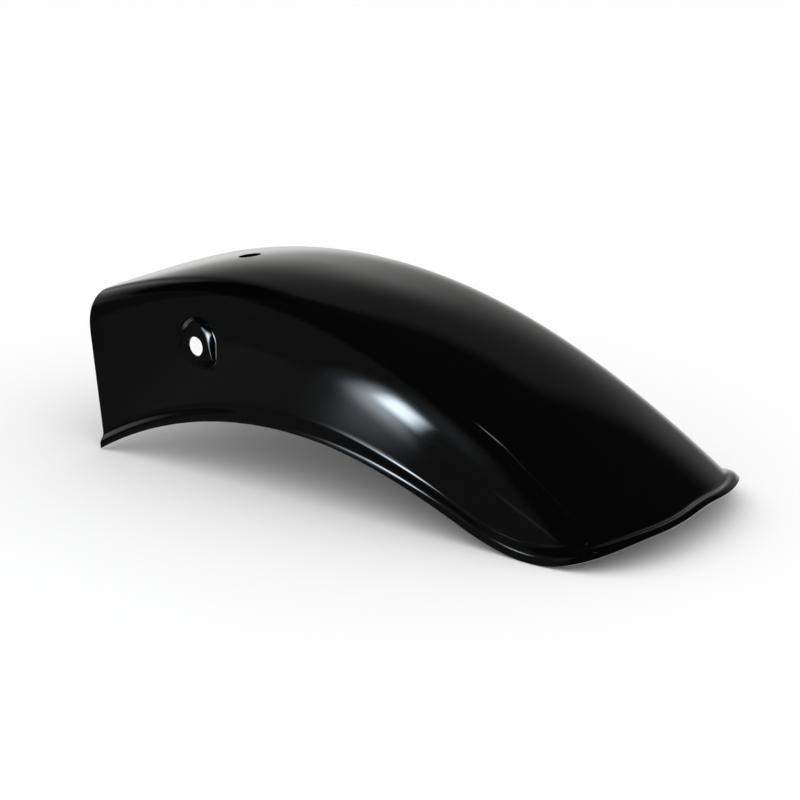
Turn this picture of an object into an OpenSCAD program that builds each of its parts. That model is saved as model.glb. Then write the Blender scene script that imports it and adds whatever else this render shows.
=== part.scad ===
// Motorcycle rear fender: one pressed steel shell with a raised lip along both walls and round
// the tail, a vertical mounting flat with a bolt hole in each wall, and one hole in the crown.
// Millimetres, +Z up. The nose points to -X and the tail to +X. The fender stands on its lips.

/* [Crown line] */
// Length of the sheet along the crown, from the nose to the tail
crown_len = 323; // [290:1:360]
// Slope of the crown at the nose, above the horizontal
nose_slope_angle = 22.3; // [19:0.1:26]
// Bend radius of the crown line at the nose
nose_bend = 286; // [240:1:360]
// Bend radius of the crown line half way along
waist_bend = 276; // [235:1:340]
// Bend radius of the crown line at the tail
tail_bend = 885; // [500:5:2000]
// Backward lean of the nose edge, from square to the crown
nose_lean_angle = 6.8; // [0:0.1:14]
// Forward lean of the tail section, from square to the crown
tail_lean_angle = 32; // [20:0.5:40]

/* [Cross section] */
// Width across the bottoms of the walls at the nose
nose_width = 127; // [112:1:142]
// Width across the bottoms of the walls half way along
waist_width = 123; // [110:1:136]
// Width across the walls at the tail
tail_width = 144; // [130:1:160]
// Depth from the crown to the edge at the nose
nose_depth = 72.5; // [64:0.5:82]
// Depth from the crown to the edge half way along
waist_depth = 57; // [50:0.5:64]
// Depth from the crown to the edge at the tail
tail_depth = 43.5; // [38:0.5:50]
// Radius between the crown and the wall at the nose
nose_shoulder = 18; // [13:0.5:24]
// Radius between the crown and the wall half way along
waist_shoulder = 27.5; // [22:0.5:34]
// Radius between the crown and the wall at the tail
tail_shoulder = 46; // [40:0.5:50]
// Slope of the crown where it meets the shoulder, at the nose
nose_camber_angle = 1.5; // [1:0.1:5]
// Slope of the crown where it meets the shoulder, half way along
waist_camber_angle = 16.5; // [12:0.5:20]
// Slope of the crown where it meets the shoulder, at the tail
tail_camber_angle = 16; // [12:0.5:20]
// Outward slope of the walls at the nose, which runs out to upright at the tail
nose_draft_angle = 8.5; // [6:0.1:11]
// Corner radius of the flat blank at the tail
tail_corner = 82; // [60:1:90]
// Thickness of the sheet
sheet = 1.2; // [0.8:0.1:1.6]

/* [Lip] */
// Height of the lip, from the fillet at its top to the edge
lip_height = 7.2; // [6:0.1:10]
// How far the lip stands out from the wall
lip_out = 3; // [2:0.1:4]
// Straight flange below the lip's bead
lip_flange = 2; // [1:0.1:3]

/* [Mounting] */
// Distance of the side bolt holes from the nose, along the crown line
side_hole_s = 72; // [62:0.5:84]
// Distance of the side bolt holes from the crown's centre line, round the section
side_hole_l = 75; // [70:0.5:82]
// Diameter of the side bolt holes
side_hole_d = 9; // [6:0.1:10]
// Radius of the arched outline of a side flat
flat_r = 10.5; // [9:0.1:13]
// Height of that arch's centre above the bolt hole
flat_rise = 2; // [0:0.1:3]
// Depth below the bolt hole at which a side flat runs out into the wall
flat_drop = 6.5; // [5:0.1:8]
// Radius at the top of the upright seat in a side flat
seat_r = 4.5; // [4:0.1:5]
// Height of that radius's centre above the bolt hole
seat_rise = 6.4; // [5.5:0.1:7]
// Distance of the crown hole from the nose, along the crown line
crown_hole_s = 59.5; // [40:0.5:90]
// Diameter of the crown hole
crown_hole_d = 11; // [6:0.1:14]

/* [Hidden] */
// Faces along the crown, round half a section and across the lip
lengthwise = 42;
half_round = 20;
lip_rows = 6;
line_steps = 200;
hole_fn = 48;
probe = 0.4;
rad = PI / 180;

// A law through three values: at the nose, half way along and at the tail
function three(t, a, b, c) = a * (1 - t) * (1 - 2 * t) + b * 4 * t * (1 - t) + c * t * (2 * t - 1);
// The area under that law, from the nose to t
function three_sum(t, a, b, c) =
    a * (t - 1.5 * t * t + 2 / 3 * pow(t, 3))
    + b * (2 * t * t - 4 / 3 * pow(t, 3))
    + c * (2 / 3 * pow(t, 3) - t * t / 2);
function clip(v) = min(max(v, 0), 1);
function ease(v) = let (u = clip(v)) u * u * (3 - 2 * u);

// The crown line: its slope at t, its points and the place at a distance s from the nose
function slope(t) =
    nose_slope_angle - crown_len * three_sum(t, 1 / nose_bend, 1 / waist_bend, 1 / tail_bend) / rad;
line_step = crown_len / line_steps;
crown_points = [
    for (
        i = 0, p = [0, 0];
        i <= line_steps;
        p = p + line_step * [cos(slope((i + 0.5) / line_steps)), sin(slope((i + 0.5) / line_steps))],
        i = i + 1
    ) p
];
function crown_at(s) =
    let (i = min(max(floor(s / line_step), 0), line_steps - 1))
    crown_points[i] + (s / line_step - i) * (crown_points[i + 1] - crown_points[i]);
function lean(t) = tail_lean_angle * ease(2 * t - 1) - nose_lean_angle * (1 - ease(2 * t));

// A section at t: [chord to the end of the crown arc, straight wall, shoulder radius, camber, wall slope]
function section(t) =
    let (
        half = three(t, nose_width, waist_width, tail_width) / 2,
        depth = three(t, nose_depth, waist_depth, tail_depth),
        r = three(t, nose_shoulder, waist_shoulder, tail_shoulder),
        c = three(t, nose_camber_angle, waist_camber_angle, tail_camber_angle),
        f = 90 - nose_draft_angle * (1 - t),
        across = half - r * (sin(f) - sin(c)),
        down = depth - r * (cos(c) - cos(f)),
        k = tan(c / 2),
        det = sin(f) - k * cos(f)
    )
    [(across * sin(f) - down * cos(f)) / det, (down - k * across) / det, r, c, f];
function crown_arc(g) = g[0] / sin(g[3]) * g[3] * rad;
function shoulder_arc(g) = g[2] * (g[4] - g[3]) * rad;
function girth(t) = let (g = section(t)) crown_arc(g) + shoulder_arc(g) + g[1];

// The place round a section at a distance l from the crown: [across, down, slope of the surface]
function round_at(g, l) =
    let (
        a = crown_arc(g),
        b = shoulder_arc(g),
        arc = min(max(l - a, 0), b),
        turn = g[3] + arc / g[2] / rad,
        wall = max(l - a - b, 0)
    )
    l < a
        ? let (r = g[0] / sin(g[3]), v = l / r / rad) [r * sin(v), r * (1 - cos(v)), v]
        : [
            g[0] + g[2] * (sin(turn) - sin(g[3])) + wall * cos(g[4]),
            g[0] * tan(g[3] / 2) + g[2] * (cos(g[3]) - cos(turn)) + wall * sin(g[4]),
            turn
        ];

// How far the lip stands out at a distance e from the edge
function lip(e) = lip_out * ease(1 - (e - lip_flange) / (lip_height - lip_flange));
// A distance from the edge at which the skin is clear of the lip
off_lip = 2 * lip_height;

// The outer skin at the place q = [s, l] of the flat blank, at a distance e from its edge
function skin(q, e) =
    let (
        t = q[0] / crown_len,
        p = round_at(section(t), abs(q[1])),
        c = crown_at(q[0]),
        side = q[1] < 0 ? -1 : 1,
        across = p[0] + lip(e) * sin(p[2]),
        down = p[1] - lip(e) * cos(p[2]),
        way = slope(t) - 90 + lean(t)
    )
    [c[0] + cos(way) * down, side * across, c[1] + sin(way) * down];
// The outward normal there, where g is the direction in the blank that leads to the edge
function normal(q, e, g) =
    let (
        h = [-g[1], g[0]] * probe,
        over = skin(q + g * probe, e - probe) - skin(q - g * probe, e + probe),
        along = skin(q + h, e) - skin(q - h, e),
        n = cross(over, along)
    )
    n / norm(n);
function sheet_at(q, e, g, deep) = skin(q, e) - deep * normal(q, e, g);

// The blank's inner field, whose tail corners are rounded: station i, row j
inner_len = crown_len - lip_height;
inner_corner = tail_corner - lip_height;
function field(i, j) =
    let (
        s = inner_len * i / lengthwise,
        v = j / half_round - 1,
        half = girth(s / crown_len) - lip_height,
        side = v < 0 ? -1 : 1,
        x = clip((s - inner_len + inner_corner) / inner_corner),
        y = clip((abs(v) * half - half + inner_corner) / inner_corner),
        mx = x * sqrt(1 - y * y / 2),
        my = y * sqrt(1 - x * x / 2)
    )
    [
        x > 0 && y > 0 ? inner_len - inner_corner * (1 - mx) : s,
        side * (x > 0 && y > 0 ? half - inner_corner * (1 - my) : abs(v) * half),
        mx,
        side * my
    ];

// The lip follows the field's border from one nose corner round the tail to the other
rows = 2 * half_round;
border = concat(
    [for (i = [0 : lengthwise]) [i, 0]],
    [for (j = [1 : rows]) [lengthwise, j]],
    [for (i = [lengthwise - 1 : -1 : 0]) [i, rows]]
);
last = len(border) - 1;
field_nodes = [for (i = [0 : lengthwise], j = [0 : rows]) field(i, j)];
border_nodes = [for (b = border) field_nodes[b[0] * (rows + 1) + b[1]]];
skin_count = len(field_nodes) + lip_rows * len(border);

function skin_points(deep) = concat(
    [for (n = field_nodes) sheet_at([n[0], n[1]], off_lip, [1, 0], deep)],
    [
        for (k = [1 : lip_rows], n = border_nodes)
            let (g = [n[2], n[3]], e = lip_height * (1 - k / lip_rows))
            sheet_at([n[0], n[1]] + g * (lip_height - e), e, g, deep)
    ]
);
function field_id(i, j) = i * (rows + 1) + j;
function lip_id(b, k) =
    k == 0 ? field_id(border[b][0], border[b][1]) : len(field_nodes) + (k - 1) * len(border) + b;
function quad(a, b, c, d) = [[a, b, c], [a, c, d]];
function flip(faces, base) = [for (f = faces) [f[2] + base, f[1] + base, f[0] + base]];

outer_faces = [
    for (
        q = concat(
            [
                for (i = [0 : lengthwise - 1], j = [0 : rows - 1])
                    [field_id(i, j), field_id(i, j + 1), field_id(i + 1, j + 1), field_id(i + 1, j)]
            ],
            [
                for (b = [0 : last - 1], k = [0 : lip_rows - 1])
                    [lip_id(b, k), lip_id(b + 1, k), lip_id(b + 1, k + 1), lip_id(b, k + 1)]
            ]
        ),
        f = quad(q[0], q[1], q[2], q[3])
    ) f
];
// The free edge of the skin: the nose from side to side, then the lip's edge back round the tail
edge = concat(
    [for (k = [lip_rows : -1 : 1]) lip_id(0, k)],
    [for (j = [0 : rows]) field_id(0, j)],
    [for (k = [1 : lip_rows]) lip_id(last, k)],
    [for (b = [last - 1 : -1 : 1]) lip_id(b, lip_rows)]
);
edge_faces = [
    for (
        n = [0 : len(edge) - 1],
        f = quad(
            edge[n],
            edge[n] + skin_count,
            edge[(n + 1) % len(edge)] + skin_count,
            edge[(n + 1) % len(edge)]
        )
    ) f
];

outer_points = skin_points(0);
inner_points = skin_points(sheet);
xs = [for (p = outer_points) p[0]];
zs = [for (p = concat(outer_points, inner_points)) p[2]];
datum = [(min(xs) + max(xs)) / 2, 0, min(zs)];

// A side flat: where its hole pierces the wall, and how the wall leans there
hole_q = [side_hole_s, -side_hole_l];
hole_at = skin(hole_q, off_lip);
hole_normal = normal(hole_q, off_lip, [1, 0]);
hole_draft = asin(hole_normal[2]);
hole_yaw = atan2(hole_normal[0], -hole_normal[1]);
hole_lean = slope(side_hole_s / crown_len) + lean(side_hole_s / crown_len);
seat_y = hole_at[1] - flat_drop * tan(hole_draft);

crown_q = [crown_hole_s, 0];
crown_hole_at = skin(crown_q, off_lip);
crown_normal = normal(crown_q, off_lip, [1, 0]);

module pressed_sheet() {
    polyhedron(
        points = concat(outer_points, inner_points),
        faces = concat(outer_faces, flip(outer_faces, skin_count), edge_faces),
        convexity = 6
    );
}

module flat_outline() {
    translate([0, flat_rise])
        circle(r = flat_r, $fn = hole_fn);
    translate([-flat_r, -flat_drop])
        square([2 * flat_r, flat_drop + flat_rise]);
}

module seat_outline() {
    translate([0, seat_rise])
        circle(r = seat_r, $fn = hole_fn);
    translate([-flat_r, -flat_drop])
        square([2 * flat_r, 0.5 * sheet]);
}

// The wedge between the leaning wall and the upright seat of a side flat
module flat_wedge() {
    hull() {
        translate(hole_at)
            rotate([90 - hole_draft, 0, hole_yaw])
                rotate([0, 0, hole_lean])
                    translate([0, 0, -0.5 * sheet])
                        linear_extrude(0.45 * sheet)
                            flat_outline();
        translate([hole_at[0], seat_y, hole_at[2]])
            rotate([90, 0, 0])
                rotate([0, 0, hole_lean])
                    translate([0, 0, -0.5 * sheet])
                        linear_extrude(0.5 * sheet)
                            seat_outline();
    }
}

module side_bore() {
    translate([hole_at[0], seat_y - sheet, hole_at[2]])
        rotate([-90, 0, 0])
            cylinder(h = 4 * sheet, d = side_hole_d, $fn = hole_fn);
}

module crown_bore() {
    translate(crown_hole_at)
        rotate([0, atan2(crown_normal[0], crown_normal[2]), 0])
            cylinder(h = 6 * sheet, d = crown_hole_d, center = true, $fn = hole_fn);
}

module fender_shell() {
    color([0.05, 0.05, 0.06])
        translate(-datum)
            difference() {
                union() {
                    pressed_sheet();
                    for (side = [0, 1])
                        mirror([0, side, 0])
                            flat_wedge();
                }
                for (side = [0, 1])
                    mirror([0, side, 0]) {
                        translate(-sheet * hole_normal)
                            flat_wedge();
                        side_bore();
                    }
                crown_bore();
            }
}

fender_shell();
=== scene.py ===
"""Motorcycle rear fender: one sheet of steel, cut flat, pressed to shape and enamelled gloss black."""

import math

import bmesh
import bpy
import numpy as np
from mathutils import Euler, Matrix, Vector


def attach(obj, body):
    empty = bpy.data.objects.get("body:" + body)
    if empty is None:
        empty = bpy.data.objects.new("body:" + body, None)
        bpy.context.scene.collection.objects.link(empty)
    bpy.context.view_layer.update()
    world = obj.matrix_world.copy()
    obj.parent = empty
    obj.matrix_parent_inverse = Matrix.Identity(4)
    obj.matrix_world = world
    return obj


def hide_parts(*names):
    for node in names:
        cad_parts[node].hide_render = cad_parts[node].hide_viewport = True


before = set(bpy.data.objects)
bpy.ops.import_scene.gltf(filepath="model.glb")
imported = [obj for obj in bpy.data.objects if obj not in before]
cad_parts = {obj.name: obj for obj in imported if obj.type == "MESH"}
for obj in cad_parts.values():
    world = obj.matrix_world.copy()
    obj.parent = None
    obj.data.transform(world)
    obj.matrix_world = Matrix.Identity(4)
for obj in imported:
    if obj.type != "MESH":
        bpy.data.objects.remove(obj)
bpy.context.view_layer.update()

# The fender's shell. The real one is a single sheet of 1.2 mm steel, cut to a flat blank with round
# tail corners and punched for its bolts. A press domes it over the wheel, folds down the walls and
# raises the lip and the two bolt seats, and it is then primed and sprayed.

# Sizes are in millimetres; a triple goes from the nose, over the waist, to the tail. On the blank,
# s is measured from the nose along the crown line, and l from that line round the section.
MM = 0.001
SHEET = 1.2
CROWN_LENGTH = 323.0
NOSE_SLOPE = math.radians(22.3)
CROWN_BENDS = (286.0, 276.0, 885.0)
NOSE_LEAN = math.radians(6.8)
TAIL_LEAN = math.radians(32.0)
WIDTHS = (127.0, 123.0, 144.0)
DEPTHS = (72.5, 57.0, 43.5)
SHOULDERS = (18.0, 27.5, 46.0)
CAMBERS = (math.radians(1.5), math.radians(16.5), math.radians(16.0))
NOSE_DRAFT = math.radians(8.5)
TAIL_CORNER = 82.0
# The press leaves no sharp change of bend: each runs in over this distance to either side
BEND_RUN_IN = 5.0


def along(t, triple):
    """The value at a share t of the way from the nose to the tail."""
    nose, waist, tail = triple
    return nose * (1 - t) * (1 - 2 * t) + waist * 4 * t * (1 - t) + tail * t * (2 * t - 1)


def ease(v):
    u = np.clip(v, 0, 1)
    return u * u * (3 - 2 * u)


def crown_slope(t):
    """The crown line's climb, in radians: it starts at the nose's and loses what the bends turn."""
    nose, waist, tail = (1 / bend for bend in CROWN_BENDS)
    turned = (
        nose * (t - 1.5 * t**2 + 2 / 3 * t**3)
        + waist * (2 * t**2 - 4 / 3 * t**3)
        + tail * (2 / 3 * t**3 - t**2 / 2)
    )
    return NOSE_SLOPE - CROWN_LENGTH * turned


def section_lean(t):
    """How far the section leans towards the tail from square to the crown line."""
    return TAIL_LEAN * ease(2 * t - 1) - NOSE_LEAN * (1 - ease(2 * t))


CROWN_STEPS = 3000
crown_mid = (np.arange(CROWN_STEPS) + 0.5) / CROWN_STEPS
crown_s = np.linspace(0, CROWN_LENGTH, CROWN_STEPS + 1)
crown_x = np.append(0, np.cumsum(np.cos(crown_slope(crown_mid)))) * CROWN_LENGTH / CROWN_STEPS
crown_z = np.append(0, np.cumsum(np.sin(crown_slope(crown_mid)))) * CROWN_LENGTH / CROWN_STEPS


def section_at(t):
    """Lengths of the crown arc, the shoulder arc and the straight wall, and their slopes."""
    shoulder = along(t, SHOULDERS)
    camber = along(t, CAMBERS)
    wall_slope = math.pi / 2 - NOSE_DRAFT * (1 - t)
    across = along(t, WIDTHS) / 2 - shoulder * (np.sin(wall_slope) - np.sin(camber))
    down = along(t, DEPTHS) - shoulder * (np.cos(camber) - np.cos(wall_slope))
    rise = np.tan(camber / 2)
    share = np.sin(wall_slope) - rise * np.cos(wall_slope)
    chord = (across * np.sin(wall_slope) - down * np.cos(wall_slope)) / share
    wall = (down - rise * across) / share
    return chord / np.sin(camber) * camber, shoulder * (wall_slope - camber), wall, camber, wall_slope


def half_girth(s):
    """The blank's half width."""
    crown_arc, shoulder_arc, wall = section_at(s / CROWN_LENGTH)[:3]
    return crown_arc + shoulder_arc + wall


def turned_by(l, section):
    """The area under the section's slope from the crown out to l, which the run-in is taken from."""
    crown_arc, shoulder_arc, wall, camber, wall_slope = section
    l = np.abs(l)
    arc = np.clip(l - crown_arc, 0, shoulder_arc)
    on_crown = camber / crown_arc * np.minimum(l, crown_arc) ** 2 / 2
    on_shoulder = camber * arc + (wall_slope - camber) / shoulder_arc * arc**2 / 2
    return on_crown + on_shoulder + wall_slope * np.maximum(l - crown_arc - shoulder_arc, 0)


def slope_round(l, section):
    """The section's slope at l, with each change of bend run in."""
    return (turned_by(l + BEND_RUN_IN, section) - turned_by(l - BEND_RUN_IN, section)) / (2 * BEND_RUN_IN)


BEND_SAMPLES = 64
spots, weights = np.polynomial.legendre.leggauss(BEND_SAMPLES)
spots = (spots + 1) / 2
weights = weights / 2


def pressed(s, l, proud):
    """Where the press takes the blank's point (s, l), and one that stands proud of the skin there."""
    t = s / CROWN_LENGTH
    section = section_at(t)
    out = np.abs(l)
    steps = slope_round(out[:, None] * spots, tuple(part[:, None] for part in section))
    turn = slope_round(out, section)
    across = out * (np.cos(steps) @ weights) + proud * np.sin(turn)
    down = out * (np.sin(steps) @ weights) - proud * np.cos(turn)
    way = crown_slope(t) - math.pi / 2 + section_lean(t)
    x = np.interp(s, crown_s, crown_x) + np.cos(way) * down
    z = np.interp(s, crown_s, crown_z) + np.sin(way) * down
    return np.stack([x, np.sign(l) * across, z], axis=1)


# The lip is a half-round bead with a short straight flange under it, raised all along the trimmed
# edge but not across the nose.
LIP_HEIGHT = 7.2
LIP_OUT = 3.0
LIP_FLANGE = 2.0
LIP_ROWS = 12


def lip_proud(from_edge):
    return LIP_OUT * ease(1 - (from_edge - LIP_FLANGE) / (LIP_HEIGHT - LIP_FLANGE))


# The flat blank: x runs from nose to tail, y round the section, and z holds what will stand proud.
CELLS_ALONG = 184
CELLS_ROUND = 136
FIELD_LENGTH = CROWN_LENGTH - LIP_HEIGHT
FIELD_CORNER = TAIL_CORNER - LIP_HEIGHT

blank = bmesh.new()
to_lip_s = blank.verts.layers.float.new("to_lip_s")
to_lip_l = blank.verts.layers.float.new("to_lip_l")
bearing = blank.verts.layers.float.new("bearing")
bmesh.ops.create_grid(blank, x_segments=CELLS_ALONG, y_segments=CELLS_ROUND, size=1)


def grid_place(s, l):
    """The grid's own coordinates of a point of the blank that is clear of the tail corners."""
    return 2 * s / FIELD_LENGTH - 1, l / (float(half_girth(s)) - LIP_HEIGHT)


# Squares are sawn out round the three holes, to be filled in again with rings that suit them.
SIDE_HOLE_S = 72.0
SIDE_HOLE_L = 75.0
SIDE_HOLE_RADIUS = 4.5
SIDE_SQUARE_UP = 3.0
SIDE_SQUARE_HALF_LONG = 18.5
SIDE_SQUARE_HALF_ROUND = 16.5
CROWN_HOLE_S = 59.5
CROWN_HOLE_RADIUS = 5.5
CROWN_SQUARE_HALF = 10.0
# In the grid's coordinates: just inside its border, and where the walls' squares lie at most
GRID_INSIDE = 0.99
WALL_SQUARE_PLACE = 0.65
WALL_SQUARE_SPREAD = 0.32


def saw_out(s, l, half_long, half_round):
    """Takes the faces out round a point of the blank."""
    x, y = grid_place(s, l)
    reach_x = 2 * half_long / FIELD_LENGTH
    reach_y = half_round / (float(half_girth(s)) - LIP_HEIGHT)
    inside = []
    for face in blank.faces:
        middle = face.calc_center_median()
        if abs(middle.x - x) < reach_x and abs(middle.y - y) < reach_y:
            inside.append(face)
    bmesh.ops.delete(blank, geom=inside, context="FACES")


def rim_round(side):
    """The open edges round one sawn square: on the near wall (-1), the crown (0) or the far wall (1)."""
    return [
        edge
        for edge in blank.edges
        if edge.is_boundary
        and max(abs(v.co.x) for v in edge.verts) < GRID_INSIDE
        and max(abs(v.co.y) for v in edge.verts) < GRID_INSIDE
        and abs(edge.verts[0].co.y - WALL_SQUARE_PLACE * side) < WALL_SQUARE_SPREAD
    ]


for side in (-1, 1):
    saw_out(SIDE_HOLE_S, side * (SIDE_HOLE_L - SIDE_SQUARE_UP), SIDE_SQUARE_HALF_LONG, SIDE_SQUARE_HALF_ROUND)
saw_out(CROWN_HOLE_S, 0, CROWN_SQUARE_HALF, CROWN_SQUARE_HALF)
rims = {side: rim_round(side) for side in (-1, 0, 1)}
lip_edges = [
    edge
    for edge in blank.edges
    if edge.is_boundary
    and (min(v.co.x for v in edge.verts) > GRID_INSIDE or min(abs(v.co.y) for v in edge.verts) > GRID_INSIDE)
]

# The grid is laid out as the blank; each point keeps the way that leads from it to the lip.
for v in blank.verts:
    s = FIELD_LENGTH * (v.co.x + 1) / 2
    half = float(half_girth(s)) - LIP_HEIGHT
    side = math.copysign(1, v.co.y)
    x = min(max((s - FIELD_LENGTH + FIELD_CORNER) / FIELD_CORNER, 0), 1)
    y = min(max((abs(v.co.y) * half - half + FIELD_CORNER) / FIELD_CORNER, 0), 1)
    round_x = x * math.sqrt(1 - y * y / 2)
    round_y = y * math.sqrt(1 - x * x / 2)
    v[to_lip_s] = round_x
    v[to_lip_l] = side * round_y
    if x > 0 and y > 0:
        in_corner_y = half - FIELD_CORNER * (1 - round_y)
        v.co = (FIELD_LENGTH - FIELD_CORNER * (1 - round_x), side * in_corner_y, 0)
    else:
        v.co = (s, v.co.y * half, 0)


def extrude_open(edges):
    """Runs a new strip off some open edges, and returns its free edges and their points."""
    new = bmesh.ops.extrude_edge_only(blank, edges=edges)["geom"]
    points = [v for v in new if isinstance(v, bmesh.types.BMVert)]
    fresh = set(points)
    edges = [e for e in new if isinstance(e, bmesh.types.BMEdge)]
    free = [e for e in edges if e.verts[0] in fresh and e.verts[1] in fresh]
    return free, points


for row in range(1, LIP_ROWS + 1):
    lip_edges, points = extrude_open(lip_edges)
    for v in points:
        v.co.x += v[to_lip_s] * LIP_HEIGHT / LIP_ROWS
        v.co.y += v[to_lip_l] * LIP_HEIGHT / LIP_ROWS
        v.co.z = float(lip_proud(LIP_HEIGHT * (1 - row / LIP_ROWS)))


# The crown hole is punched clean through; its rings stand this far off its edge.
CROWN_RINGS = (2.4, 1.1, 0.4, 0.0)
free = rims[0]
for off_edge in CROWN_RINGS:
    radius = CROWN_HOLE_RADIUS + off_edge
    free, points = extrude_open(free)
    for v in points:
        angle = math.atan2(v.co.y, v.co.x - CROWN_HOLE_S)
        v.co = (CROWN_HOLE_S + radius * math.cos(angle), radius * math.sin(angle), 0)

# Each side hole sits in a seat that is pressed upright out of the leaning wall and turned a little to
# the nose. It narrows to a round top; a ramp with a rounded brow leads from it down to an arched
# outline, and its foot runs out softly into the wall.
FLAT_RADIUS = 10.5
FLAT_RISE = 2.0
FLAT_DROP = 5.6
SEAT_RADIUS = 4.5
SEAT_RISE = 6.4
SEAT_PROUD = 1.2
SEAT_TURN = math.radians(4.3)
FOOT_RUN_OUT = 5.4
# The outline turns into its foot like a curve of this power, and the brow starts this much steeper
# than a straight ramp. The foot begins where the way from the hole falls by this share.
FOOT_CORNER_POWER = 6
BROW_START = 1.25
BROW_POWER = 5
FOOT_FALL = 0.42
FOOT_FALL_BLEND = 0.2
hole_on_skin = pressed(np.array([SIDE_HOLE_S]), np.array([SIDE_HOLE_L]), np.zeros(1))[0]
flat_turn = float(crown_slope(SIDE_HOLE_S / CROWN_LENGTH) + section_lean(SIDE_HOLE_S / CROWN_LENGTH))


def circle_reach(angle, rise, radius):
    """How far a circle centred that high above the hole reaches from the hole, at each angle."""
    up = rise * np.sin(angle)
    return up + np.sqrt(np.maximum(radius**2 - rise**2 + up**2, 0))


def flat_reach(angle):
    """How far the arched outline reaches from the hole."""
    sides = FLAT_RADIUS / np.maximum(np.abs(np.cos(angle)), 1e-6)
    foot = (FLAT_DROP + FOOT_RUN_OUT) / np.maximum(-np.sin(angle), 1e-6)
    straight = (sides**-FOOT_CORNER_POWER + foot**-FOOT_CORNER_POWER) ** (-1 / FOOT_CORNER_POWER)
    over_top = straight * np.sin(angle) > FLAT_RISE
    return np.where(over_top, circle_reach(angle, FLAT_RISE, FLAT_RADIUS), straight)


def seat_reach(angle):
    """How far the seat reaches: a round top over two straight sides that spread to the foot."""
    high = SEAT_RISE + FLAT_DROP
    narrowing = math.asin(SEAT_RADIUS / math.hypot(high, FLAT_RADIUS))
    side_way = math.pi - math.atan2(high, FLAT_RADIUS) - narrowing
    side_normal = (math.sin(side_way), -math.cos(side_way))
    reach = side_normal[0] * FLAT_RADIUS - side_normal[1] * FLAT_DROP
    toward = side_normal[0] * np.abs(np.cos(angle)) + side_normal[1] * np.sin(angle)
    sides = np.where(toward > 1e-6, reach / np.maximum(toward, 1e-6), 1e6)
    foot = np.where(np.sin(angle) < 0, FLAT_DROP / np.maximum(-np.sin(angle), 1e-6), 1e6)
    straight = np.minimum(sides, foot)
    over_top = straight * np.sin(angle) > SEAT_RISE + SEAT_RADIUS * side_normal[1]
    return np.where(over_top, circle_reach(angle, SEAT_RISE, SEAT_RADIUS), straight)


CORRECTIONS = 6


def mark_out(x, z, s, l):
    """The blank's points that the press takes to x and z, found by a few corrections from (s, l)."""
    probe = 0.01
    for correction in range(CORRECTIONS):
        here = pressed(s, l, np.zeros(len(s)))
        by_s = (pressed(s + probe, l, np.zeros(len(s))) - here) / probe
        by_l = (pressed(s, l + probe, np.zeros(len(s))) - here) / probe
        miss_x = x - here[:, 0]
        miss_z = z - here[:, 2]
        share = by_s[:, 0] * by_l[:, 2] - by_l[:, 0] * by_s[:, 2]
        s = s + (miss_x * by_l[:, 2] - by_l[:, 0] * miss_z) / share
        l = l + (by_s[:, 0] * miss_z - miss_x * by_s[:, 2]) / share
    return s, l


# Rings from the wall inwards: the share of the way from the outline to the seat, then to the hole.
# A share below nought lies outside the outline, at this distance for each whole step.
OUTSIDE_STEP = 2.0
RAMP_STEPS = (-0.5, 0.0, 0.14, 0.28, 0.42, 0.56, 0.7, 0.84, 1.0)
SEAT_STEPS = (0.12, 0.5, 0.9, 1.0)
FLAT_FILLET = 0.7
for side in (-1, 1):
    free = rims[side]
    rim_points = list({v for edge in free for v in edge.verts})
    rim_s = np.array([v.co.x for v in rim_points])
    rim_l = np.array([abs(v.co.y) for v in rim_points])
    at = pressed(rim_s, rim_l, np.zeros(len(rim_points)))
    tailwards = at[:, 0] - hole_on_skin[0]
    upwards = at[:, 2] - hole_on_skin[2]
    across_flat = tailwards * math.cos(flat_turn) + upwards * math.sin(flat_turn)
    up_flat = upwards * math.cos(flat_turn) - tailwards * math.sin(flat_turn)
    rim_angle = np.arctan2(up_flat, across_flat)
    for v, angle in zip(rim_points, rim_angle):
        v[bearing] = angle
    rings = [("ramp", step) for step in RAMP_STEPS] + [("seat", step) for step in SEAT_STEPS]
    for kind, step in rings:
        free, points = extrude_open(free)
        angle = np.array([v[bearing] for v in points])
        outline = flat_reach(angle) + FLAT_FILLET
        seat = seat_reach(angle)
        if kind == "ramp":
            reach = outline + (seat - outline) * max(step, 0) - OUTSIDE_STEP * min(step, 0)
        else:
            reach = seat + (SIDE_HOLE_RADIUS - seat) * step
        x = hole_on_skin[0] + reach * np.cos(angle + flat_turn)
        z = hole_on_skin[2] + reach * np.sin(angle + flat_turn)
        from_s = np.array([v.co.x for v in points])
        from_l = np.array([abs(v.co.y) for v in points])
        s, l = mark_out(x, z, from_s, from_l)
        wall = pressed(s, l, np.zeros(len(s)))
        turn = slope_round(l, section_at(s / CROWN_LENGTH))
        seat_away = hole_on_skin[1] + SEAT_PROUD + reach * np.cos(angle) * math.tan(SEAT_TURN)
        proud = np.maximum(seat_away - wall[:, 1], 0) / np.sin(turn)
        if kind == "ramp":
            at_foot = ease((-np.sin(angle) - FOOT_FALL) / FOOT_FALL_BLEND)
            brow = BROW_START * max(step, 0) - (BROW_START - 1) * max(step, 0) ** BROW_POWER
            proud = proud * (brow + (ease(step) - brow) * at_foot)
        for v, new_s, new_l, new_proud in zip(points, s, l, proud):
            v.co = (new_s, side * new_l, new_proud)

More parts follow.
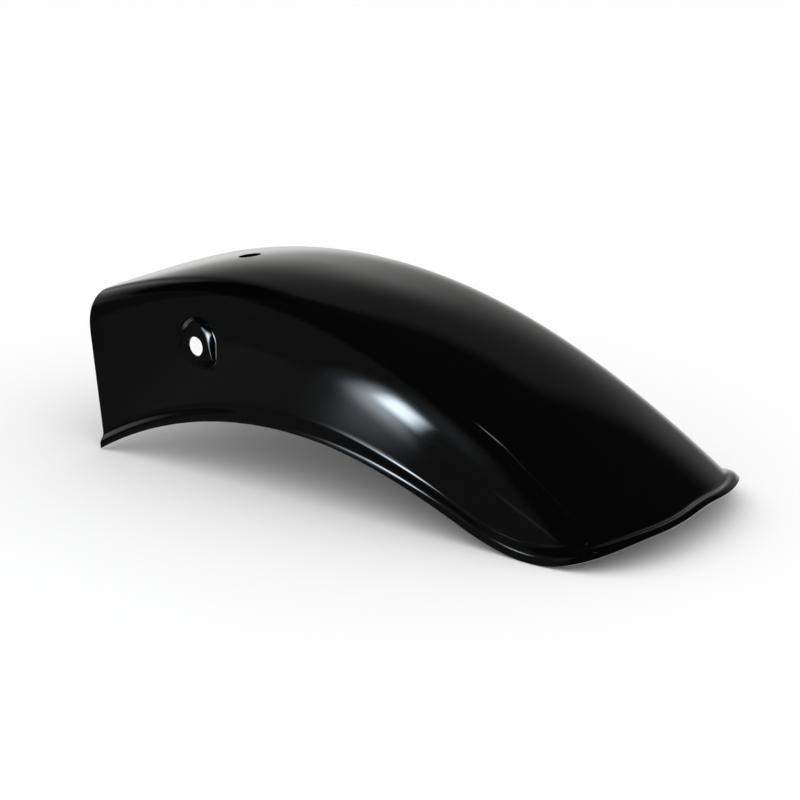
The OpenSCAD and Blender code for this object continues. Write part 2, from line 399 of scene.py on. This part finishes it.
# The press: every point of the blank goes to its place, and the fender stands on its lips.
blank.verts.ensure_lookup_table()
flat = np.array([v.co for v in blank.verts])
shaped = pressed(flat[:, 0], flat[:, 1], flat[:, 2])
for v, place in zip(blank.verts, shaped):
    v.co = place * MM
bmesh.ops.recalc_face_normals(blank, faces=blank.faces)
topmost = max(blank.faces, key=lambda face: face.calc_center_median().z)
if topmost.normal.z < 0:
    bmesh.ops.reverse_faces(blank, faces=blank.faces)
blank.normal_update()
lowest = min(min(v.co.z, v.co.z - SHEET * MM * v.normal.z) for v in blank.verts)
middle = (min(v.co.x for v in blank.verts) + max(v.co.x for v in blank.verts)) / 2
bmesh.ops.translate(blank, verts=blank.verts, vec=(-middle, 0, -lowest))
for face in blank.faces:
    face.smooth = True

shell_mesh = bpy.data.meshes.new("fender_skin")
blank.to_mesh(shell_mesh)
blank.free()
shell = bpy.data.objects.new("fender_skin", shell_mesh)
bpy.context.scene.collection.objects.link(shell)

# The sheet's thickness lies inside the pressed skin, and its cut rims are dressed with a file.
DRESSED_WIDTH = 0.3
thickness = shell.modifiers.new("sheet thickness", "SOLIDIFY")
thickness.thickness = SHEET * MM
thickness.offset = -1
thickness.use_even_offset = True
thickness.use_quality_normals = True
dressing = shell.modifiers.new("dressed rims", "BEVEL")
dressing.width = DRESSED_WIDTH * MM
dressing.segments = 2
dressing.limit_method = "ANGLE"
dressing.angle_limit = math.radians(50)
dressing.harden_normals = True


# The paint: black enamel under a clear, glossy top, with a little settled dust and wiped streaks.
ENAMEL_BLACK = (0.0006, 0.0006, 0.00065, 1)
SETTLED_DUST = (0.006, 0.0058, 0.0055, 1)


def enamel_surface():
    """Settled dust and wiped streaks in an enamel, as masks, and a fine height for its orange peel."""
    group = bpy.data.node_groups.new("enamel surface", "ShaderNodeTree")
    group.interface.new_socket("Place", in_out="INPUT", socket_type="NodeSocketVector")
    peel_size = group.interface.new_socket("Peel Scale", in_out="INPUT", socket_type="NodeSocketFloat")
    peel_size.default_value = 420
    group.interface.new_socket("Dust", in_out="OUTPUT", socket_type="NodeSocketFloat")
    group.interface.new_socket("Wiped", in_out="OUTPUT", socket_type="NodeSocketFloat")
    group.interface.new_socket("Peel", in_out="OUTPUT", socket_type="NodeSocketFloat")
    nodes = group.nodes
    link = group.links.new
    source = nodes.new("NodeGroupInput")
    result = nodes.new("NodeGroupOutput")

    def noise(detail, roughness, scale=1):
        node = nodes.new("ShaderNodeTexNoise")
        node.inputs["Detail"].default_value = detail
        node.inputs["Roughness"].default_value = roughness
        node.inputs["Scale"].default_value = scale
        return node

    def steps(value, low, high):
        node = nodes.new("ShaderNodeMapRange")
        node.interpolation_type = "SMOOTHSTEP"
        node.inputs["From Min"].default_value = low
        node.inputs["From Max"].default_value = high
        link(value, node.inputs["Value"])
        return node.outputs["Result"]

    specks = noise(detail=1, roughness=0.5, scale=2600)
    link(source.outputs["Place"], specks.inputs["Vector"])
    patches = noise(detail=3, roughness=0.6, scale=34)
    link(source.outputs["Place"], patches.inputs["Vector"])
    dust = nodes.new("ShaderNodeMath")
    dust.operation = "MULTIPLY"
    link(steps(specks.outputs["Fac"], low=0.64, high=0.74), dust.inputs[0])
    link(steps(patches.outputs["Fac"], low=0.4, high=0.7), dust.inputs[1])
    link(dust.outputs[0], result.inputs["Dust"])

    stretch = nodes.new("ShaderNodeMapping")
    stretch.inputs["Scale"].default_value = (0.12, 1, 1)
    stretch.inputs["Rotation"].default_value = (0, 0.35, 0)
    link(source.outputs["Place"], stretch.inputs["Vector"])
    streaks = noise(detail=4, roughness=0.65, scale=240)
    link(stretch.outputs["Vector"], streaks.inputs["Vector"])
    link(steps(streaks.outputs["Fac"], low=0.35, high=0.75), result.inputs["Wiped"])

    peel = noise(detail=2, roughness=0.45)
    link(source.outputs["Place"], peel.inputs["Vector"])
    link(source.outputs["Peel Scale"], peel.inputs["Scale"])
    link(peel.outputs["Fac"], result.inputs["Peel"])
    return group


def gloss_black_enamel():
    paint = bpy.data.materials.new("gloss black enamel")
    paint.use_nodes = True
    nodes = paint.node_tree.nodes
    link = paint.node_tree.links.new
    shader = nodes["Principled BSDF"]
    shader.inputs["IOR"].default_value = 1.5
    shader.inputs["Coat Roughness"].default_value = 0.02
    shader.inputs["Coat IOR"].default_value = 1.5
    place = nodes.new("ShaderNodeTexCoord")
    surface = nodes.new("ShaderNodeGroup")
    surface.node_tree = enamel_surface()
    link(place.outputs["Object"], surface.inputs["Place"])

    colour = nodes.new("ShaderNodeMix")
    colour.data_type = "RGBA"
    colour.inputs[6].default_value = ENAMEL_BLACK
    colour.inputs[7].default_value = SETTLED_DUST
    link(surface.outputs["Dust"], colour.inputs[0])
    link(colour.outputs[2], shader.inputs["Base Color"])

    dull = nodes.new("ShaderNodeMapRange")
    dull.inputs["To Min"].default_value = 0.05
    dull.inputs["To Max"].default_value = 0.08
    link(surface.outputs["Wiped"], dull.inputs["Value"])
    link(dull.outputs["Result"], shader.inputs["Roughness"])

    coat = nodes.new("ShaderNodeMapRange")
    coat.inputs["To Min"].default_value = 1
    coat.inputs["To Max"].default_value = 0.6
    link(surface.outputs["Dust"], coat.inputs["Value"])
    link(coat.outputs["Result"], shader.inputs["Coat Weight"])

    peel = nodes.new("ShaderNodeBump")
    peel.inputs["Strength"].default_value = 0.1
    peel.inputs["Distance"].default_value = 0.00004
    link(surface.outputs["Peel"], peel.inputs["Height"])
    link(peel.outputs["Normal"], shader.inputs["Normal"])
    return paint


shell_mesh.materials.append(gloss_black_enamel())
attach(shell, "root")
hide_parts("fender_shell")

# The studio: a plain pale floor under an even white sky, in which the paint mirrors only what the
# photographer set up: a softbox close by the near side and pale backdrops farther off.
FLOOR_HALF = 6.0
FLOOR_PALE = (0.9, 0.9, 0.9, 1)
floor_mesh = bpy.data.meshes.new("studio_floor")
floor_form = bmesh.new()
bmesh.ops.create_grid(floor_form, x_segments=1, y_segments=1, size=FLOOR_HALF)
floor_form.to_mesh(floor_mesh)
floor_form.free()
floor = bpy.data.objects.new("studio_floor", floor_mesh)
bpy.context.scene.collection.objects.link(floor)
floor_paint = bpy.data.materials.new("pale floor")
floor_paint.use_nodes = True
floor_shader = floor_paint.node_tree.nodes["Principled BSDF"]
floor_shader.inputs["Base Color"].default_value = FLOOR_PALE
floor_shader.inputs["Roughness"].default_value = 0.9
floor_mesh.materials.append(floor_paint)
floor.visible_glossy = False


def maths(tree, operation, first, second=0):
    """A sum in a node tree, of numbers or of other nodes' results."""
    node = tree.nodes.new("ShaderNodeMath")
    node.operation = operation
    for socket, value in zip(node.inputs, (first, second)):
        if isinstance(value, (int, float)):
            socket.default_value = value
        else:
            tree.links.new(value, socket)
    return node.outputs[0]


def fade(tree, value, low, high):
    """Nought at low and one at high, with a smooth change between."""
    node = tree.nodes.new("ShaderNodeMapRange")
    node.interpolation_type = "SMOOTHSTEP"
    node.inputs["From Min"].default_value = low
    node.inputs["From Max"].default_value = high
    tree.links.new(value, node.inputs["Value"])
    return node.outputs["Result"]


def oblong(tree, across, along_it, half_wide, half_high, soft_wide, soft_high):
    """A soft-edged mask, from how far a point lies off the middle each way."""
    wide = fade(tree, maths(tree, "ABSOLUTE", across), half_wide + soft_wide, half_wide - soft_wide)
    high = fade(tree, maths(tree, "ABSOLUTE", along_it), half_high + soft_high, half_high - soft_high)
    return maths(tree, "MULTIPLY", wide, high)


def turn_to(bearing, height, roll):
    """The turn that takes the x axis to a bearing from the near side towards the tail, and a height."""
    return [math.radians(angle) for angle in (roll, -height, bearing - 90)]


# The softbox. Its sizes are shares of its distance from the wall it is aimed at, and each glow is
# given as: middle across and along, half width, half height, softness of each, strength.
COOL_LIGHT = (0.86, 0.98, 1.08, 1)
BOX_AIM = Vector((0.01, -0.057, 0.045))
BOX_AWAY = 0.22
BOX_WAY = Euler(turn_to(bearing=-24, height=14, roll=-25)).to_matrix()
BOX_HALF_WIDE = 0.35
BOX_HALF_HIGH = 0.8
BOX_GLOWS = (
    (0.08, 0.1, 0.07, 0.19, 0.045, 0.13, 9.5),
    (0.036, -0.06, 0.083, 0.345, 0.068, 0.25, 3.5),
    (0.02, -0.1, 0.13, 0.35, 0.08, 0.25, 0.35),
)
box_form = bmesh.new()
box_uv = box_form.loops.layers.uv.new("across_along")
bmesh.ops.create_grid(box_form, x_segments=1, y_segments=1, size=1)
for face in box_form.faces:
    for loop in face.loops:
        loop[box_uv].uv = (loop.vert.co.x * BOX_HALF_WIDE, loop.vert.co.y * BOX_HALF_HIGH)
for v in box_form.verts:
    place = Vector((1, v.co.x * BOX_HALF_WIDE, v.co.y * BOX_HALF_HIGH))
    v.co = BOX_AIM + BOX_AWAY * (BOX_WAY @ place)
box_mesh = bpy.data.meshes.new("softbox")
box_form.to_mesh(box_mesh)
box_form.free()
softbox = bpy.data.objects.new("softbox", box_mesh)
bpy.context.scene.collection.objects.link(softbox)
# Only the paint's mirror images see it
softbox.visible_camera = False
softbox.visible_diffuse = False
softbox.visible_transmission = False
softbox.visible_shadow = False
box_glow = bpy.data.materials.new("softbox glow")
box_glow.use_nodes = True
box_tree = box_glow.node_tree
box_tree.nodes.clear()
box_split = box_tree.nodes.new("ShaderNodeSeparateXYZ")
box_tree.links.new(box_tree.nodes.new("ShaderNodeTexCoord").outputs["UV"], box_split.inputs["Vector"])
brightness = 0.0
for across, along_it, half_wide, half_high, soft_wide, soft_high, strength in BOX_GLOWS:
    off_across = maths(box_tree, "SUBTRACT", box_split.outputs["X"], across)
    off_along = maths(box_tree, "SUBTRACT", box_split.outputs["Y"], along_it)
    glow = oblong(box_tree, off_across, off_along, half_wide, half_high, soft_wide, soft_high)
    brightness = maths(box_tree, "ADD", brightness, maths(box_tree, "MULTIPLY", glow, strength))
lamp = box_tree.nodes.new("ShaderNodeEmission")
lamp.inputs["Color"].default_value = COOL_LIGHT
box_tree.links.new(brightness, lamp.inputs["Strength"])
clear = box_tree.nodes.new("ShaderNodeBsdfTransparent")
box_both = box_tree.nodes.new("ShaderNodeAddShader")
box_tree.links.new(lamp.outputs["Emission"], box_both.inputs[0])
box_tree.links.new(clear.outputs["BSDF"], box_both.inputs[1])
box_result = box_tree.nodes.new("ShaderNodeOutputMaterial")
box_tree.links.new(box_both.outputs["Shader"], box_result.inputs["Surface"])
box_mesh.materials.append(box_glow)

# The backdrops and the dark room between them lie far off, in the sky that the paint mirrors.
world = bpy.data.worlds.new("studio")
bpy.context.scene.world = world
world.use_nodes = True
sky_tree = world.node_tree
sky = sky_tree.nodes
sky_link = sky_tree.links.new
sky.clear()
toward = sky.new("ShaderNodeTexCoord").outputs["Generated"]


def far_panel(bearing, height, roll, half_wide, half_high, soft_wide, soft_high, strength):
    """A lit panel far away, with its place and its sizes in degrees."""
    turn = sky.new("ShaderNodeVectorRotate")
    turn.rotation_type = "EULER_XYZ"
    turn.invert = True
    turn.inputs["Rotation"].default_value = turn_to(bearing, height, roll)
    sky_link(toward, turn.inputs["Vector"])
    split = sky.new("ShaderNodeSeparateXYZ")
    sky_link(turn.outputs["Vector"], split.inputs["Vector"])
    ahead = maths(sky_tree, "MAXIMUM", split.outputs["X"], 0.0001)
    across = maths(sky_tree, "ARCTAN2", split.outputs["Y"], ahead)
    along_it = maths(sky_tree, "ARCTAN2", split.outputs["Z"], ahead)
    sizes = [math.radians(size) for size in (half_wide, half_high, soft_wide, soft_high)]
    mask = oblong(sky_tree, across, along_it, *sizes)
    mask = maths(sky_tree, "MULTIPLY", mask, fade(sky_tree, split.outputs["X"], 0, 0.05))
    return maths(sky_tree, "MULTIPLY", mask, strength)


def lit_by(gloom, panels):
    """The dark room's own glow with its panels'; a panel of less than no strength shades another."""
    glow = gloom
    for panel in panels:
        glow = maths(sky_tree, "ADD", glow, far_panel(*panel))
    return maths(sky_tree, "MAXIMUM", glow, 0)


# Bearing, height, roll, half width, half height, softness of each, strength
COOL_GLOOM = 0.001
COOL_PANELS = (
    (-14, 35, -20, 4, 8, 4, 8, 0.12),
    (-47, 10.5, 0, 41, 46, 4, 4, 0.008),
    (14.6, 66.1, 80, 0.4, 1.5, 0.3, 1, 3.2),
    (19.6, 63.9, 18, 0.35, 2.6, 0.25, 1.2, 0.2),
    (26.7, 59.8, 56, 0.35, 3.2, 0.25, 2, 0.06),
    (-8.5, 22, -43, 0.3, 9, 0.25, 3, 0.12),
)
NEUTRAL_LIGHT = (1, 0.995, 0.98, 1)
NEUTRAL_GLOOM = 0.009
NEUTRAL_PANELS = (
    (-47, 10.5, 0, 41, 46, 4, 4, 0.034),
    (-77, 1.8, 30, 25, 60, 1.5, 5, -0.03),
    (-50, -14, 0, 12, 7.5, 2, 1, 0.03),
    (202, 7.5, 0, 24, 45.5, 4, 4, 0.05),
    (211, -1, 4, 13, 34, 10, 10, 0.08),
    (217, 12, 27, 5, 20, 6, 10, 0.16),
    (221, 0, 20, 8, 10, 8, 12, 0.16),
    (200, -10, 0, 31, 26, 5, 18, 0.1),
    (200, -30, 0, 31, 31, 5, 7, 0.35),
    (254, 1, 0, 21, 25, 6, 12, 0.36),
    (90, 30, 0, 24, 16, 12, 10, 0.15),
    (138, -9, 0, 34, 13, 12, 7, 0.4),
)
cool = sky.new("ShaderNodeBackground")
cool.inputs["Color"].default_value = COOL_LIGHT
sky_link(lit_by(COOL_GLOOM, COOL_PANELS), cool.inputs["Strength"])
neutral = sky.new("ShaderNodeBackground")
neutral.inputs["Color"].default_value = NEUTRAL_LIGHT
sky_link(lit_by(NEUTRAL_GLOOM, NEUTRAL_PANELS), neutral.inputs["Strength"])
surround = sky.new("ShaderNodeAddShader")
sky_link(cool.outputs["Background"], surround.inputs[0])
sky_link(neutral.outputs["Background"], surround.inputs[1])
# The floor is lit by an even white sky, which the paint doesn't mirror
SKY_STRENGTH = 1.15
white = sky.new("ShaderNodeBackground")
white.inputs["Color"].default_value = (1, 1, 1, 1)
white.inputs["Strength"].default_value = SKY_STRENGTH
ray = sky.new("ShaderNodeLightPath")
mix = sky.new("ShaderNodeMixShader")
sky_link(ray.outputs["Is Glossy Ray"], mix.inputs["Fac"])
sky_link(white.outputs["Background"], mix.inputs[1])
sky_link(surround.outputs["Shader"], mix.inputs[2])
sky_result = sky.new("ShaderNodeOutputWorld")
sky_link(mix.outputs["Shader"], sky_result.inputs["Surface"])
bpy.context.scene.view_settings.view_transform = "Standard"

# The camera stands off the near side, turned towards the tail, and looks a little down.
CAMERA_BEARING = math.radians(33.798)
CAMERA_HEIGHT = math.radians(17.873)
CAMERA_ROLL = math.radians(0.865)
CAMERA_DISTANCE = 0.967585
CAMERA_TARGET = Vector((-0.00685, 0, 0.031024))
LENS_PIXELS = 2099.13
PHOTO_PIXELS = 800
SENSOR = 36

back = Vector(
    (
        math.sin(CAMERA_BEARING) * math.cos(CAMERA_HEIGHT),
        -math.cos(CAMERA_BEARING) * math.cos(CAMERA_HEIGHT),
        math.sin(CAMERA_HEIGHT),
    )
)
level = Vector((0, 0, 1)).cross(back).normalized()
upright = back.cross(level)
right = level * math.cos(CAMERA_ROLL) + upright * math.sin(CAMERA_ROLL)
up = back.cross(right)
view = bpy.data.cameras.new("camera")
view.sensor_width = SENSOR
view.lens = LENS_PIXELS / PHOTO_PIXELS * SENSOR
view.clip_start = 0.05
camera = bpy.data.objects.new("camera", view)
camera.matrix_world = Matrix.Translation(CAMERA_TARGET + back * CAMERA_DISTANCE) @ Matrix(
    (right, up, back)
).transposed().to_4x4()
bpy.context.scene.collection.objects.link(camera)
bpy.context.scene.camera = camera
